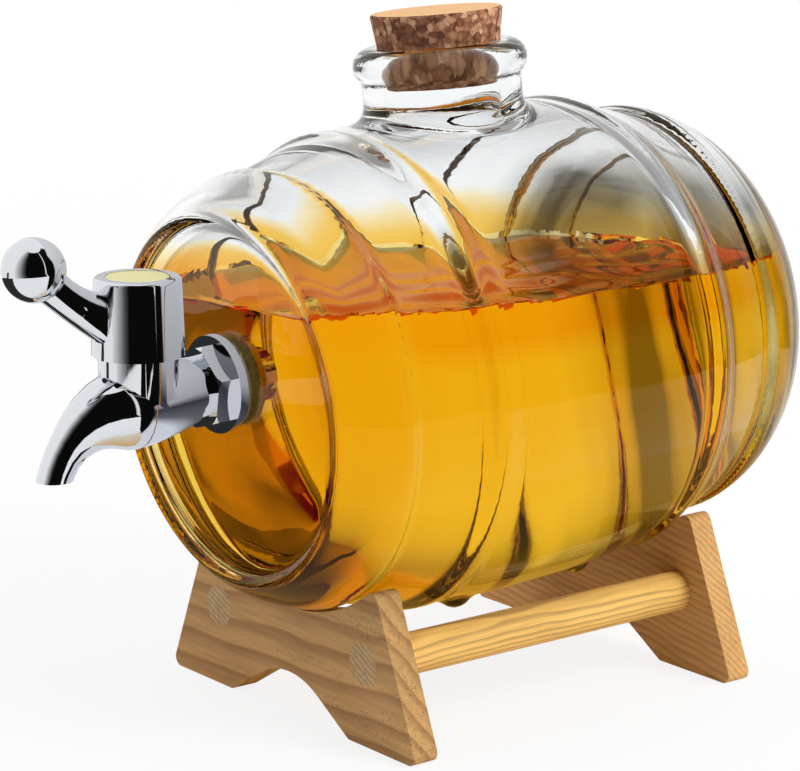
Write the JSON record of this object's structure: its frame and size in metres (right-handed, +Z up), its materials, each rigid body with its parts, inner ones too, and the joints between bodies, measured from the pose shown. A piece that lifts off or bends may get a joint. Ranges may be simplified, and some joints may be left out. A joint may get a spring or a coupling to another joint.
{
  "type": "barrel liquor dispenser",
  "caption": "Glass barrel drink dispenser with a chromed lever tap and a cork stopper, lying in the cradle of a pine stand.",
  "frame": {"origin": "middle of the whole object's box in plan, on the surface that the stand's feet rest on", "axes": "+Z up; the barrel lies along Y and leans 2.9 degrees down to the tap at its -Y end; +X is to the right when the tap is faced"},
  "size_m": [0.1128, 0.1924, 0.1589],
  "materials": {
    "pine": "planed, oiled",
    "dowel_wood": "turned, oiled",
    "clear_glass": "clear, fire polished",
    "cork": "pressed cork granules",
    "chrome_plate": "polished plate on brass",
    "brass": "turned",
    "steel": "plain stainless",
    "seal_rubber": "moulded",
    "seal_silicone": "moulded, pale and a little clear",
    "washer_plastic": "slippery washer plastic",
    "disc_plastic": "plain pale yellow, no print"
  },
  "bodies": {
    "stand": {"front_panel": "pine", "rear_panel": "pine", "left_dowel": "dowel_wood", "right_dowel": "dowel_wood"},
    "barrel": {"glass_barrel": "clear_glass", "tap_body": "chrome_plate", "outer_gasket": "seal_silicone", "inner_gasket": "seal_silicone", "back_washer": "steel", "back_nut": "brass", "gland_ring": "brass"},
    "lever": {"lever_handle": "chrome_plate", "valve_plug": "brass", "thrust_washer": "washer_plastic", "upper_o_ring": "seal_rubber", "lower_o_ring": "seal_rubber", "screw_washer": "steel", "cap_screw": "steel", "marker_disc": "disc_plastic"},
    "cork": {"cork_stopper": "cork"}
  },
  "joints": [
    {"name": "barrel_lift", "type": "slide", "parent": "stand", "child": "barrel", "axis": [0, 0, 1], "range_m": [0, 0.06]},
    {"name": "lever_turn", "type": "hinge", "parent": "barrel", "child": "lever", "pos_m": [-0.00031, -0.0636, 0.07891], "axis": [0.0105, 0, 0.9999], "range_deg": [0, 90]},
    {"name": "cork_pull", "type": "slide", "parent": "barrel", "child": "cork", "axis": [-0.0698, -0.0505, 0.9963], "range_m": [0, 0.04]}
  ]
}
